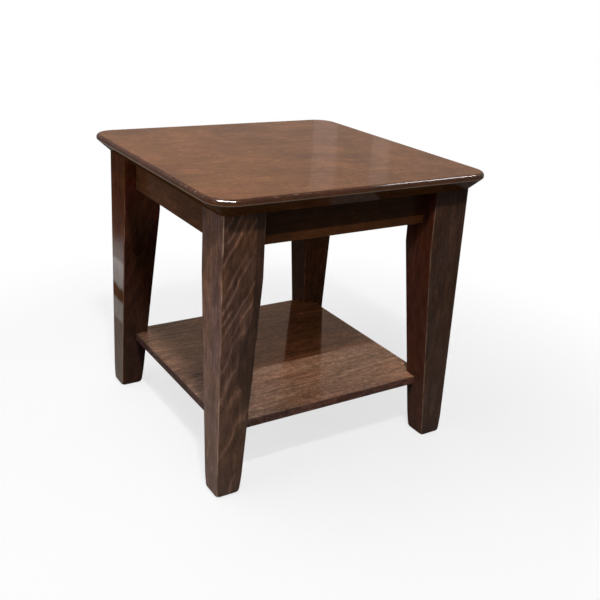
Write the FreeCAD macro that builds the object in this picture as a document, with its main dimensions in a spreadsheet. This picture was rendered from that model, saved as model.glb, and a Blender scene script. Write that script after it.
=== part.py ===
import FreeCAD, Part
import math
import os
import re
import Sketcher

# End table with a shelf, in millimetres. +Z is up, the front faces -Y, and the origin is on the floor
# under the middle of the table. The legs, aprons, braces and buttons at the front left are drawn once,
# and the others are their mirror images. Every board of the top and of the shelf is sawn from one panel.

os.makedirs("parts", exist_ok=True)
doc = FreeCAD.newDocument("EndTable")

# ---------------------------------------------------------------- driving dimensions
SIZES = {
    # top
    "top_width": 610,
    "top_depth": 610,
    "top_thickness": 36,
    "top_corner_radius": 47,
    "top_edge_face": 11,
    "top_bevel_inset": 28,
    "top_arris": 7,
    "top_bevel_arris": 5,
    "top_overhang": 32,
    # legs
    "leg_length": 554,
    "leg_head": 82.5,
    "leg_foot": 50.5,
    "leg_taper_drop": 51,
    "leg_bend_radius": 80,
    "leg_arris": 3.5,
    "leg_foot_arris": 8,
    # aprons
    "apron_height": 73,
    "apron_thickness": 22,
    "apron_arris": 2,
    "front_setback": 34,
    "side_setback": 27,
    # mortise and tenon
    "tenon_thickness": 10,
    "tenon_length": 35,
    "tenon_shoulder": 8,
    "tenon_haunch": 12,
    "glue_gap": 0.1,
    "mortise_end_gap": 1.5,
    # corner braces
    "brace_thickness": 20,
    "brace_height": 40,
    "brace_gap": 0.5,
    # buttons that hold the top down
    "button_reach": 36,
    "button_width": 32,
    "button_thickness": 20,
    "tongue_length": 10,
    "tongue_thickness": 9,
    "tongue_drop": 10,
    "button_gap": 0.5,
    # shelf
    "shelf_inset": 32,
    "shelf_thickness": 17.5,
    "shelf_level": 134,
    "shelf_front_board": 180,
    "shelf_arris": 1.5,
    "notch_gap": 0.4,
    "dowel_diameter": 8,
    "dowel_length": 40,
    "dowel_end_gap": 1,
    # wood screws: flat head, shank and square drive; the length is under the head
    "screw_head": 8,
    "screw_head_height": 2.4,
    "screw_shank": 4,
    "screw_drive": 2.6,
    "screw_drive_depth": 1.6,
    "screw_clearance": 0.1,
    "brace_screw_length": 25,
    "brace_screw_seat": 9,
    "top_screw_length": 52,
    "top_screw_seat": 32,
    "button_screw_length": 34,
    "button_screw_seat": 18,
    # how far a cutting block or drill runs past the surface that it enters
    "overrun": 5,
}
TOP_BOARDS = 5
SHELF_BACK_BOARDS = 2

# Sizes that follow from the driving ones, as formulas of the same sheet.
DERIVED = {
    "frame_width": "top_width - 2 * top_overhang",
    "frame_depth": "top_depth - 2 * top_overhang",
    "half_width": "frame_width / 2",
    "half_depth": "frame_depth / 2",
    "height": "leg_length + top_thickness",
    "apron_base": "leg_length - apron_height",
    "taper_top": "leg_length - apron_height - leg_taper_drop",
    "taper_run": "leg_head - leg_foot",
    "taper_angle": "atan(taper_run / taper_top)",
    "bend_reach": "leg_bend_radius * tan(taper_angle / 2)",
    "bend_low_across": "leg_head - bend_reach * sin(taper_angle)",
    "bend_low_level": "taper_top - bend_reach * cos(taper_angle)",
    "bend_high_level": "taper_top + bend_reach",
    "leg_inner_x": "half_width - leg_head",
    "leg_inner_y": "half_depth - leg_head",
    "front_outer": "half_depth - front_setback",
    "front_inner": "half_depth - front_setback - apron_thickness",
    "side_outer": "half_width - side_setback",
    "side_inner": "half_width - side_setback - apron_thickness",
    "tenon_inset": "(apron_thickness - tenon_thickness) / 2",
    "tenon_height": "apron_height - tenon_shoulder - tenon_haunch",
    "tenon_base": "apron_base + tenon_shoulder",
    "brace_outer": "leg_inner_x + leg_inner_y - brace_gap * sqrt(2)",
    "brace_inner": "brace_outer - brace_thickness * sqrt(2)",
    "brace_middle": "(brace_outer + brace_inner) / 2",
    "brace_screw_x": "brace_middle - front_inner",
    "brace_screw_y": "brace_middle - side_inner",
    "top_screw_x": "(brace_middle + side_inner - front_inner) / 2",
    "top_screw_y": "(brace_middle - side_inner + front_inner) / 2",
    "button_centre": "button_reach / 2",
    "tongue_top": "leg_length - tongue_drop",
    "shelf_width": "frame_width - 2 * shelf_inset",
    "shelf_depth": "frame_depth - 2 * shelf_inset",
    "shelf_underside": "shelf_level - shelf_thickness",
    "dowel_level": "shelf_level - shelf_thickness / 2",
    "leg_at_dowel": "leg_foot + taper_run * dowel_level / taper_top",
    "dowel_face_x": "half_width - leg_at_dowel",
    "dowel_y": "(shelf_depth / 2 + half_depth - leg_at_dowel) / 2",
}

sheet = doc.addObject("Spreadsheet::Sheet", "Dims")
for row, (alias, value) in enumerate(list(SIZES.items()) + list(DERIVED.items()), 1):
    sheet.set("A%d" % row, alias)
    sheet.set("B%d" % row, str(value) if alias in SIZES else "=" + value)
    sheet.setAlias("B%d" % row, alias)
doc.recompute()


# ---------------------------------------------------------------- helpers
def formula(text):
    """A formula of sheet names, as the expression that a property outside the sheet needs."""
    return re.sub(r"[a-z_]+", r"Dims.\g<0>", text)


def tie(item, **formulas):
    """Ties properties to the sheet; two underscores in a keyword stand for a dot."""
    for name, text in formulas.items():
        item.setExpression(name.replace("__", "."), formula(text))


def new_body(name):
    body = doc.addObject("PartDesign::Body", name)
    body.Label = name
    return body


def outline(body, name, role, corners, offset="0 * height", bend=None):
    """A closed outline on one of the body's origin planes, moved along its normal. Each corner is a pair
    of formulas and is held by its two distances from the origin, and the corners run anticlockwise. The
    sides are straight lines, apart from the one numbered bend, an arc that runs smoothly into the next."""
    sketch = body.newObject("Sketcher::SketchObject", name)
    plane = next(item for item in body.Origin.OriginFeatures if item.Role == role)
    sketch.AttachmentSupport = (plane, [""])
    sketch.MapMode = "FlatFace"
    tie(sketch, AttachmentOffset__Base__z=offset)
    places = [FreeCAD.Vector(*[float(sketch.evalExpression(formula(text))) for text in pair], 0)
              for pair in corners]
    count = len(corners)
    for number in range(count):
        start, end = places[number], places[(number + 1) % count]
        if number == bend:
            sketch.addGeometry(smooth_arc(start, end, places[(number + 2) % count] - end))
        else:
            sketch.addGeometry(Part.LineSegment(start, end))
    for number, (across, along) in enumerate(corners):
        joint = "Tangent" if number == bend else "Coincident"
        sketch.addConstraint(Sketcher.Constraint(joint, number, 2, (number + 1) % count, 1))
        for kind, text in (("DistanceX", across), ("DistanceY", along)):
            index = sketch.addConstraint(Sketcher.Constraint(kind, -1, 1, number, 1, 1.0))
            sketch.setExpression("Constraints[%d]" % index, formula(text))
    return sketch


def smooth_arc(start, end, way_on):
    """The anticlockwise arc from start to end that leaves its end along the way on."""
    inward = FreeCAD.Vector(-way_on.y, way_on.x, 0).normalize()
    chord = start - end
    centre = end + inward * (chord.Length ** 2 / (2 * chord.dot(inward)))
    turns = [math.atan2(point.y - centre.y, point.x - centre.x) for point in (start, end)]
    circle = Part.Circle(centre, FreeCAD.Vector(0, 0, 1), (end - centre).Length)
    return Part.ArcOfCircle(circle, turns[0], turns[1])


def rectangle(low_x, low_y, high_x, high_y):
    return [(low_x, low_y), (high_x, low_y), (high_x, high_y), (low_x, high_y)]


def pad(body, name, sketch, length):
    feature = body.newObject("PartDesign::Pad", name)
    feature.Profile = sketch
    tie(feature, Length=length)
    doc.recompute()
    return feature


def block(body, kind, name, corner, size):
    """An AdditiveBox or SubtractiveBox with its lowest corner and its three lengths as formulas."""
    feature = body.newObject("PartDesign::" + kind, name)
    tie(feature, Length=size[0], Width=size[1], Height=size[2])
    tie(feature, Placement__Base__x=corner[0], Placement__Base__y=corner[1], Placement__Base__z=corner[2])
    return feature


TURNS = {
    "+Z": FreeCAD.Rotation(),
    "+X": FreeCAD.Rotation(FreeCAD.Vector(0, 1, 0), 90),
    "-X": FreeCAD.Rotation(FreeCAD.Vector(0, 1, 0), -90),
    "+Y": FreeCAD.Rotation(FreeCAD.Vector(1, 0, 0), -90),
    "-Y": FreeCAD.Rotation(FreeCAD.Vector(1, 0, 0), 90),
}


def place(item, way, corner):
    """Turns the item's own Z to the way named, and puts its origin at three formulas."""
    item.Placement = FreeCAD.Placement(FreeCAD.Vector(), TURNS[way])
    tie(item, Placement__Base__x=corner[0], Placement__Base__y=corner[1], Placement__Base__z=corner[2])


def drill(body, name, way, start, diameter, depth):
    feature = body.newObject("PartDesign::SubtractiveCylinder", name)
    tie(feature, Radius="(%s) / 2" % diameter, Height=depth)
    place(feature, way, start)
    return feature


def edges_where(feature, wanted):
    return ["Edge%d" % number for number, edge in enumerate(feature.Shape.Edges, 1) if wanted(edge)]


def edge_feature(body, kind, name, base, wanted, **formulas):
    """A Fillet or Chamfer on the edges of the base that pass the test."""
    doc.recompute()
    feature = body.newObject("PartDesign::" + kind, name)
    feature.Base = (base, edges_where(base, wanted))
    tie(feature, **formulas)
    doc.recompute()
    return feature


def upright(edge):
    return edge.BoundBox.XLength < 0.001 and edge.BoundBox.YLength < 0.001


def level_at(edge, height):
    return abs(edge.BoundBox.ZMin - height) < 0.001 and abs(edge.BoundBox.ZMax - height) < 0.001


def mirror_image(name, source, across):
    """The source's mirror image in the table's middle plane, across X or across Y."""
    image = doc.addObject("Part::Mirroring", name)
    image.Label = name
    image.Source = source
    image.Normal = FreeCAD.Vector(1, 0, 0) if across == "X" else FreeCAD.Vector(0, 1, 0)
    return image


def group(name, items):
    compound = doc.addObject("Part::Compound", name)
    compound.Label = name
    compound.Links = items
    return compound


def at_four_corners(name, source):
    """The source and its three images, as one group of separate solids."""
    pair = group(name + "_left", [source, mirror_image(name + "_back", source, "Y")])
    return group(name, [pair, mirror_image(name + "_right", pair, "X")])


def sawn(name, panel, low_y, width, half_length):
    """One board of a panel: the part of it in a strip that runs along X."""
    strip = doc.addObject("Part::Box", name + "_strip")
    tie(strip, Length="2 * (%s + overrun)" % half_length, Width=width, Height="height + 2 * overrun")
    tie(strip, Placement__Base__x="-(%s + overrun)" % half_length, Placement__Base__y=low_y,
        Placement__Base__z="-overrun")
    board = doc.addObject("Part::MultiCommon", name)
    board.Label = name
    board.Shapes = [panel, strip]
    return board


# ---------------------------------------------------------------- screws
def screw(name, length, way, start):
    """A flat-headed wood screw with a square drive and a plain shank. The head bears on its seat at the
    start, and the shank lies the way named."""
    body = new_body(name)
    sketch = outline(body, name + "_profile", "XZ_Plane", [
        ("0 * screw_head", "-screw_head_height"),
        ("screw_head / 2", "-screw_head_height"),
        ("screw_head / 2", "0 * screw_head"),
        ("screw_shank / 2", "0 * screw_head"),
        ("screw_shank / 2", length),
        ("0 * screw_head", length),
    ])
    turned = body.newObject("PartDesign::Revolution", name + "_turned")
    turned.Profile = sketch
    turned.ReferenceAxis = (sketch, ["V_Axis"])
    turned.Angle = 360
    doc.recompute()
    block(body, "SubtractiveBox", name + "_drive",
          ("-screw_drive / 2", "-screw_drive / 2", "-screw_head_height - overrun"),
          ("screw_drive", "screw_drive", "screw_drive_depth + overrun"))
    place(body, way, start)
    return body


# ---------------------------------------------------------------- legs
def leg_outline(body, name, role, outer_face):
    """The leg seen square to a side: its outer face plumb, its inner face plumb above the taper, with an
    arc between the two stretches."""
    return outline(body, name, role, [
        ("-" + outer_face, "0 * height"),
        ("-%s + leg_foot" % outer_face, "0 * height"),
        ("-%s + bend_low_across" % outer_face, "bend_low_level"),
        ("-%s + leg_head" % outer_face, "bend_high_level"),
        ("-%s + leg_head" % outer_face, "leg_length"),
        ("-" + outer_face, "leg_length"),
    ], bend=2)


def build_leg():
    """The front left leg, square with eased arrises, its two inner faces tapered to the foot. It is what
    two crossing blanks share, one sawn to the outline of each side. It is mortised for two aprons and
    bored for the shelf's dowel."""
    blank = new_body("leg_side_blank")
    pad(blank, "leg_side", leg_outline(blank, "leg_side_outline", "YZ_Plane", "half_depth"),
        "half_width + overrun").Reversed = True
    leg = new_body("leg_front_left")
    pad(leg, "leg_front", leg_outline(leg, "leg_front_outline", "XZ_Plane", "half_width"),
        "half_depth + overrun")
    shared = leg.newObject("PartDesign::Boolean", "leg_shared")
    shared.Type = "Common"
    shared.Group = [blank]
    arrises = edge_feature(leg, "Fillet", "leg_easing", shared, lambda edge: edge.BoundBox.ZLength > 1,
                           Radius="leg_arris")
    edge_feature(leg, "Fillet", "leg_foot_easing", arrises, lambda edge: level_at(edge, 0),
                 Radius="leg_foot_arris")
    block(leg, "SubtractiveBox", "mortise_front",
          ("-leg_inner_x - tenon_length - mortise_end_gap", "-front_outer + tenon_inset - glue_gap",
           "tenon_base - glue_gap"),
          ("tenon_length + mortise_end_gap + overrun", "tenon_thickness + 2 * glue_gap",
           "tenon_height + 2 * glue_gap"))
    block(leg, "SubtractiveBox", "mortise_side",
          ("-side_outer + tenon_inset - glue_gap", "-leg_inner_y - tenon_length - mortise_end_gap",
           "tenon_base - glue_gap"),
          ("tenon_thickness + 2 * glue_gap", "tenon_length + mortise_end_gap + overrun",
           "tenon_height + 2 * glue_gap"))
    drill(leg, "dowel_bore", "+X",
          ("-dowel_face_x - dowel_length / 2 - dowel_end_gap", "-dowel_y", "dowel_level"),
          "dowel_diameter + 2 * glue_gap", "dowel_length / 2 + dowel_end_gap + overrun")
    return leg


# ---------------------------------------------------------------- aprons
def build_apron_front():
    """The front apron, with a tenon at each end, a slot for its button and two screw bores."""
    apron = new_body("apron_front")
    rail = pad(apron, "front_rail", outline(apron, "front_rail_plan", "XY_Plane", rectangle(
        "-leg_inner_x", "-front_outer", "leg_inner_x", "-front_inner"), "apron_base"), "apron_height")
    base = sheet.apron_base
    edge_feature(apron, "Fillet", "front_easing", rail,
                 lambda edge: level_at(edge, base) and edge.BoundBox.YLength < 0.001, Radius="apron_arris")
    for end, low_x in (("left", "-leg_inner_x - tenon_length"), ("right", "leg_inner_x")):
        block(apron, "AdditiveBox", "front_tenon_" + end, (low_x, "-front_outer + tenon_inset", "tenon_base"),
              ("tenon_length", "tenon_thickness", "tenon_height"))
    block(apron, "SubtractiveBox", "front_slot",
          ("-button_width / 2 - button_gap", "-front_inner - tongue_length - button_gap",
           "tongue_top - tongue_thickness - button_gap"),
          ("button_width + 2 * button_gap", "tongue_length + button_gap + overrun",
           "tongue_thickness + button_gap"))
    for end, across in (("left", "-brace_screw_x"), ("right", "brace_screw_x")):
        drill(apron, "front_bore_" + end, "+Y",
              (across, "-front_inner + brace_screw_seat - brace_screw_length - screw_clearance",
               "leg_length - brace_height / 2"),
              "screw_shank + 2 * screw_clearance", "brace_screw_length")
    return apron


def build_apron_left():
    """The left apron, with a tenon at each end, a slot for its button and two screw bores."""
    apron = new_body("apron_left")
    rail = pad(apron, "side_rail", outline(apron, "side_rail_plan", "XY_Plane", rectangle(
        "-side_outer", "-leg_inner_y", "-side_inner", "leg_inner_y"), "apron_base"), "apron_height")
    base = sheet.apron_base
    edge_feature(apron, "Fillet", "side_easing", rail,
                 lambda edge: level_at(edge, base) and edge.BoundBox.XLength < 0.001, Radius="apron_arris")
    for end, low_y in (("front", "-leg_inner_y - tenon_length"), ("back", "leg_inner_y")):
        block(apron, "AdditiveBox", "side_tenon_" + end, ("-side_outer + tenon_inset", low_y, "tenon_base"),
              ("tenon_thickness", "tenon_length", "tenon_height"))
    block(apron, "SubtractiveBox", "side_slot",
          ("-side_inner - tongue_length - button_gap", "-button_width / 2 - button_gap",
           "tongue_top - tongue_thickness - button_gap"),
          ("tongue_length + button_gap + overrun", "button_width + 2 * button_gap",
           "tongue_thickness + button_gap"))
    for end, along in (("front", "-brace_screw_y"), ("back", "brace_screw_y")):
        drill(apron, "side_bore_" + end, "+X",
              ("-side_inner + brace_screw_seat - brace_screw_length - screw_clearance", along,
               "leg_length - brace_height / 2"),
              "screw_shank + 2 * screw_clearance", "brace_screw_length")
    return apron


# ---------------------------------------------------------------- corner braces and their screws
def build_brace():
    """The front left corner brace: a board set on the diagonal between two aprons, just clear of the
    leg. Its screws go into the aprons, and a long one goes up through it into the top."""
    brace = new_body("brace_front_left")
    pad(brace, "brace_board", outline(brace, "brace_plan", "XY_Plane", [
        ("-(brace_outer - front_inner)", "-front_inner"),
        ("-(brace_inner - front_inner)", "-front_inner"),
        ("-side_inner", "-(brace_inner - side_inner)"),
        ("-side_inner", "-(brace_outer - side_inner)"),
    ], "leg_length - brace_height"), "brace_height")
    middle = "leg_length - brace_height / 2"
    shank = "screw_shank + 2 * screw_clearance"
    head = "screw_head + 2 * screw_clearance"
    seats = {
        "front": ("-Y", "+Y", "-brace_screw_x", "-front_inner + brace_screw_seat"),
        "side": ("-X", "+X", "-side_inner + brace_screw_seat", "-brace_screw_y"),
    }
    for end, (inward, outward, across, along) in seats.items():
        seat = (across, along, middle)
        drill(brace, "brace_bore_" + end, inward, seat, shank, "brace_screw_seat + overrun")
        drill(brace, "brace_counterbore_" + end, outward, seat, head, "brace_thickness")
    seat = ("-top_screw_x", "-top_screw_y", "leg_length - top_screw_seat")
    drill(brace, "top_bore", "+Z", seat, shank, "top_screw_seat + overrun")
    mouth = ("-top_screw_x", "-top_screw_y", "leg_length - brace_height - overrun")
    drill(brace, "top_counterbore", "+Z", mouth, head, "brace_height - top_screw_seat + overrun")
    return brace


def build_brace_screws():
    """Two screws at each corner brace, one into each of its aprons."""
    middle = "leg_length - brace_height / 2"
    front = screw("brace_screw_front", "brace_screw_length", "-Y",
                  ("-brace_screw_x", "-front_inner + brace_screw_seat", middle))
    side = screw("brace_screw_side", "brace_screw_length", "-X",
                 ("-side_inner + brace_screw_seat", "-brace_screw_y", middle))
    return at_four_corners("screws_brace", group("brace_screw_pair", [front, side]))


def build_top_screws():
    long_screw = screw("top_screw", "top_screw_length", "+Z",
                       ("-top_screw_x", "-top_screw_y", "leg_length - top_screw_seat"))
    return at_four_corners("screws_top", long_screw)


# ---------------------------------------------------------------- buttons and their screws
def build_button_front():
    """A wooden button: its tongue hooks under the wall of the apron's slot, and its screw draws the top
    down."""
    button = new_body("button_front")
    block(button, "AdditiveBox", "front_button_block",
          ("-button_width / 2", "-front_inner + button_gap", "leg_length - button_gap - button_thickness"),
          ("button_width", "button_reach", "button_thickness"))
    block(button, "AdditiveBox", "front_button_tongue",
          ("-button_width / 2", "-front_inner - tongue_length", "tongue_top - tongue_thickness"),
          ("button_width", "tongue_length + button_gap", "tongue_thickness"))
    seat = ("0 * height", "-front_inner + button_centre", "leg_length - button_screw_seat")
    bore_button(button, "front_button", seat)
    return button


def build_button_left():
    button = new_body("button_left")
    block(button, "AdditiveBox", "left_button_block",
          ("-side_inner + button_gap", "-button_width / 2", "leg_length - button_gap - button_thickness"),
          ("button_reach", "button_width", "button_thickness"))
    block(button, "AdditiveBox", "left_button_tongue",
          ("-side_inner - tongue_length", "-button_width / 2", "tongue_top - tongue_thickness"),
          ("tongue_length + button_gap", "button_width", "tongue_thickness"))
    seat = ("-side_inner + button_centre", "0 * height", "leg_length - button_screw_seat")
    bore_button(button, "left_button", seat)
    return button


def bore_button(button, name, seat):
    """The button's screw hole, with a seat for the head."""
    below = (seat[0], seat[1], "leg_length - button_thickness - button_gap - overrun")
    drill(button, name + "_bore", "+Z", seat, "screw_shank + 2 * screw_clearance",
          "button_screw_seat + overrun")
    drill(button, name + "_counterbore", "+Z", below, "screw_head + 2 * screw_clearance",
          "button_thickness + button_gap + overrun - button_screw_seat")


def build_button_screws():
    front = screw("button_screw_front", "button_screw_length", "+Z",
                  ("0 * height", "-front_inner + button_centre", "leg_length - button_screw_seat"))
    left = screw("button_screw_left", "button_screw_length", "+Z",
                 ("-side_inner + button_centre", "0 * height", "leg_length - button_screw_seat"))
    back = mirror_image("button_screw_back", front, "Y")
    right = mirror_image("button_screw_right", left, "X")
    return group("screws_button", [front, left, back, right])


# ---------------------------------------------------------------- top
def build_top():
    """The glued-up top with its moulded edge, bored from below for its screws, sawn into boards."""
    panel = new_body("top_panel")
    slab = pad(panel, "top_slab", outline(panel, "top_plan", "XY_Plane", rectangle(
        "-top_width / 2", "-top_depth / 2", "top_width / 2", "top_depth / 2"), "leg_length"), "top_thickness")
    corners = edge_feature(panel, "Fillet", "top_corners", slab, upright, Radius="top_corner_radius")
    underside = sheet.leg_length
    surface = sheet.height
    bevel = edge_feature(panel, "Chamfer", "top_bevel", corners, lambda edge: level_at(edge, underside),
                         Size="top_thickness - top_edge_face", Size2="top_bevel_inset")
    bevel.ChamferType = "Two distances"
    doc.recompute()
    half = sheet.top_width / 2 - sheet.top_bevel_inset
    right_way = any(level_at(edge, underside) and abs(abs(edge.CenterOfMass.x) - half) < 0.01
                    for edge in bevel.Shape.Edges)
    bevel.FlipDirection = not right_way
    arris = edge_feature(panel, "Fillet", "top_arris_round", bevel, lambda edge: level_at(edge, surface),
                         Radius="top_arris")
    brim = sheet.height - sheet.top_edge_face
    edge_feature(panel, "Fillet", "top_bevel_round", arris, lambda edge: level_at(edge, brim),
                 Radius="top_bevel_arris")
    for across in ("-", ""):
        for along in ("-", ""):
            name = "top_hole_%d" % len(panel.Group)
            drill(panel, name, "+Z", (across + "top_screw_x", along + "top_screw_y", "leg_length - overrun"),
                  "screw_shank + 2 * screw_clearance",
                  "top_screw_length - top_screw_seat + overrun + screw_clearance")
    reach = "button_screw_length - button_screw_seat + overrun + screw_clearance"
    shank = "screw_shank + 2 * screw_clearance"
    for side, sign in (("front", "-"), ("back", "")):
        drill(panel, "top_hole_" + side, "+Z",
              ("0 * height", "%s(front_inner - button_centre)" % sign, "leg_length - overrun"), shank, reach)
    for side, sign in (("left", "-"), ("right", "")):
        drill(panel, "top_hole_" + side, "+Z",
              ("%s(side_inner - button_centre)" % sign, "0 * height", "leg_length - overrun"), shank, reach)
    width = "top_depth / %d" % TOP_BOARDS
    return [sawn("top_board_%d" % (number + 1), panel, "-top_depth / 2 + %d * %s" % (number, width), width,
                 "top_width / 2") for number in range(TOP_BOARDS)]


# ---------------------------------------------------------------- shelf and its dowels
def build_leg_space():
    """The room that the front left leg takes below its taper's top, with the notch's gap round it."""
    space = doc.addObject("Part::Wedge", "leg_space")
    tie(space, Xmin="0 * height", Xmax="leg_foot + notch_gap",
        X2min="0 * height", X2max="leg_head + notch_gap",
        Ymin="0 * height", Ymax="taper_top",
        Zmin="-leg_foot - notch_gap", Zmax="0 * height",
        Z2min="-leg_head - notch_gap", Z2max="0 * height")
    place(space, "-Y", ("-half_width", "-half_depth", "0 * height"))
    return space


def build_shelf():
    """The glued-up shelf, notched round the four legs, bored for its dowels and sawn into boards."""
    panel = new_body("shelf_panel")
    slab = pad(panel, "shelf_slab", outline(panel, "shelf_plan", "XY_Plane", rectangle(
        "-shelf_width / 2", "-shelf_depth / 2", "shelf_width / 2", "shelf_depth / 2"), "shelf_underside"),
        "shelf_thickness")
    edge_feature(panel, "Fillet", "shelf_easing", slab, lambda edge: edge.BoundBox.ZLength < 0.001,
                 Radius="shelf_arris")
    for end, across in (("left", "-dowel_face_x"), ("right", "dowel_face_x")):
        for side, along in (("front", "-dowel_y"), ("back", "dowel_y")):
            drill(panel, "shelf_bore_%s_%s" % (side, end), "+X",
                  (across + " - dowel_length / 2 - dowel_end_gap", along, "dowel_level"),
                  "dowel_diameter + 2 * glue_gap", "dowel_length + 2 * dowel_end_gap")
    notched = doc.addObject("Part::Cut", "shelf_notched")
    notched.Base = panel
    notched.Tool = at_four_corners("leg_spaces", build_leg_space())
    boards = [sawn("shelf_board_1", notched, "-shelf_depth / 2", "shelf_front_board", "shelf_width / 2")]
    width = "(shelf_depth - shelf_front_board) / %d" % SHELF_BACK_BOARDS
    for number in range(SHELF_BACK_BOARDS):
        low = "-shelf_depth / 2 + shelf_front_board + %d * %s" % (number, width)
        boards.append(sawn("shelf_board_%d" % (number + 2), notched, low, width, "shelf_width / 2"))
    return boards


def build_dowels():
    dowel = doc.addObject("Part::Cylinder", "dowel")
    tie(dowel, Radius="dowel_diameter / 2", Height="dowel_length")
    place(dowel, "+X", ("-dowel_face_x - dowel_length / 2", "-dowel_y", "dowel_level"))
    return at_four_corners("shelf_dowels", dowel)


# ---------------------------------------------------------------- the table
leg = build_leg()
leg_back = mirror_image("leg_back_left", leg, "Y")
brace = build_brace()
brace_back = mirror_image("brace_back_left", brace, "Y")
apron_front = build_apron_front()
apron_left = build_apron_left()
button_front = build_button_front()
button_left = build_button_left()
nodes = [
    leg, leg_back, mirror_image("leg_front_right", leg, "X"), mirror_image("leg_back_right", leg_back, "X"),
    apron_front, mirror_image("apron_back", apron_front, "Y"),
    apron_left, mirror_image("apron_right", apron_left, "X"),
    brace, brace_back,
    mirror_image("brace_front_right", brace, "X"), mirror_image("brace_back_right", brace_back, "X"),
    button_front, mirror_image("button_back", button_front, "Y"),
    button_left, mirror_image("button_right", button_left, "X"),
    build_brace_screws(), build_top_screws(), build_button_screws(), build_dowels(),
]
nodes += build_top()
nodes += build_shelf()
doc.recompute()

# ---------------------------------------------------------------- checks and export
for item in doc.Objects:
    if "Invalid" in item.State or "Error" in item.State:
        raise RuntimeError("%s failed: %s" % (item.Name, item.State))
for node in nodes:
    if node.Shape.isNull() or not node.Shape.isValid() or not node.Shape.Solids:
        raise RuntimeError("%s has no valid solid" % node.Label)
for node in nodes:
    node.Shape.exportStep("parts/%s.step" % node.Label)
    box = node.Shape.BoundBox
    print("%-18s %d solid(s) %9.1f mm3  x %.1f..%.1f  y %.1f..%.1f  z %.1f..%.1f" % (
        node.Label, len(node.Shape.Solids), node.Shape.Volume,
        box.XMin, box.XMax, box.YMin, box.YMax, box.ZMin, box.ZMax))
print(len(nodes), "nodes")
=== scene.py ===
import math

import bmesh
import bpy
from mathutils import Euler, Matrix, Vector


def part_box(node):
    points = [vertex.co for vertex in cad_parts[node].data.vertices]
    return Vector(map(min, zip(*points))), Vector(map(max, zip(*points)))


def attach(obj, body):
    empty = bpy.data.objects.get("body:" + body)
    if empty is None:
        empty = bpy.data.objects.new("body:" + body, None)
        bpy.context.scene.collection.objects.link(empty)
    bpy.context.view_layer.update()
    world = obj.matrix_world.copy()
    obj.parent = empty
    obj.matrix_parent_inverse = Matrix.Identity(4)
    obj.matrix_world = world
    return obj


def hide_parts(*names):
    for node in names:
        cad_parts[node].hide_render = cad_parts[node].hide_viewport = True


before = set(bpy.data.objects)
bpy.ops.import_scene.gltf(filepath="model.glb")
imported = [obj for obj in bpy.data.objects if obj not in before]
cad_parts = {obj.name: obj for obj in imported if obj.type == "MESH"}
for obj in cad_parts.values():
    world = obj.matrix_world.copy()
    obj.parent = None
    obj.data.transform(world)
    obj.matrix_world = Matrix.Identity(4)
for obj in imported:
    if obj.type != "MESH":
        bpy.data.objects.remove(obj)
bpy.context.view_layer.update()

# The looks of an end table in dark stained, lacquered wood. Metres, in the frame's own axes: +Z is up, the
# front faces -Y, and the origin is on the floor under the middle of the table.
X, Y, Z = range(3)

# ---------------------------------------------------------------- sizes of the forms
# Each piece takes its place from its node's box. These are the sizes that the boxes don't give.
TOP_BOARDS = 5
TOP_CORNER_RADIUS = 0.047
TOP_EDGE_FACE = 0.011
TOP_BEVEL_INSET = 0.028
TOP_BEVEL_ARRIS = 0.005
TOP_ARRIS = 0.007
APRON_HEIGHT = 0.073
APRON_ARRIS = 0.002
TENON_LENGTH = 0.035
LEG_FOOT = 0.0505
LEG_TAPER_DROP = 0.051          # from the aprons' bottom down to where the taper would meet the plumb face
LEG_BEND_RADIUS = 0.080
LEG_FOOT_ARRIS = 0.008
LEG_ARRIS = 0.0035
LEG_FOOT_CORNER = 0.010         # what the vertical edges' rounding has grown to at the floor, by wear
LEG_FOOT_WEAR = 0.045           # how high up that wear goes
LEG_LEAST_CORNER = 0.001

# How finely the meshes are made.
TOP_CORNER_STEPS = 24
TOP_BEVEL_STEPS = 6
TOP_ARRIS_STEPS = 8
LEG_CORNER_STEPS = 8
LEG_FOOT_STEPS = 6
LEG_LEVELS = 40
APRON_STEPS = 6
SHARP_ANGLE = math.radians(40)

BEVEL_FOOT_MARK = 0.4           # the mark where the top's bevel meets its underside, which is hardly worn


# ---------------------------------------------------------------- mesh helpers
def arc(steps):
    """The steps of a quarter turn as (share of the way, mark). A mark says how near a point is to the middle
    of an eased arris: 1 there, and 0 on the flat faces beside it."""
    return [(step / steps, math.sin(step / steps * math.pi)) for step in range(steps + 1)]


def skin(rings, marks):
    """A closed bmesh through rings of equal length, each a list of points, with flat ends. Marks holds one
    number for each point of each ring."""
    shape = bmesh.new()
    worn = shape.verts.layers.float.new("arris")
    loops = []
    for ring, levels in zip(rings, marks):
        loop = [shape.verts.new(point) for point in ring]
        for vertex, level in zip(loop, levels):
            vertex[worn] = level
        loops.append(loop)
    for low, high in zip(loops, loops[1:]):
        for number in range(len(low)):
            following = (number + 1) % len(low)
            shape.faces.new((low[number], low[following], high[following], high[number]))
    shape.faces.new(list(reversed(loops[0])))
    shape.faces.new(loops[-1])
    return shape


def rounded_ring(low, high, height, radius, steps):
    """The points of a level rectangle from low to high, anticlockwise from its lowest corner, with an arc at
    each corner, and each point's mark."""
    points, marks = [], []
    corners = ((low[0] + radius, low[1] + radius), (high[0] - radius, low[1] + radius),
               (high[0] - radius, high[1] - radius), (low[0] + radius, high[1] - radius))
    for number, corner in enumerate(corners):
        centre = Vector(corner)
        for share, mark in arc(steps):
            turn = math.pi + number * math.pi / 2 + share * math.pi / 2
            point = centre + radius * Vector((math.cos(turn), math.sin(turn)))
            points.append(Vector((point.x, point.y, height)))
            marks.append(mark)
    return points, marks


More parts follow.
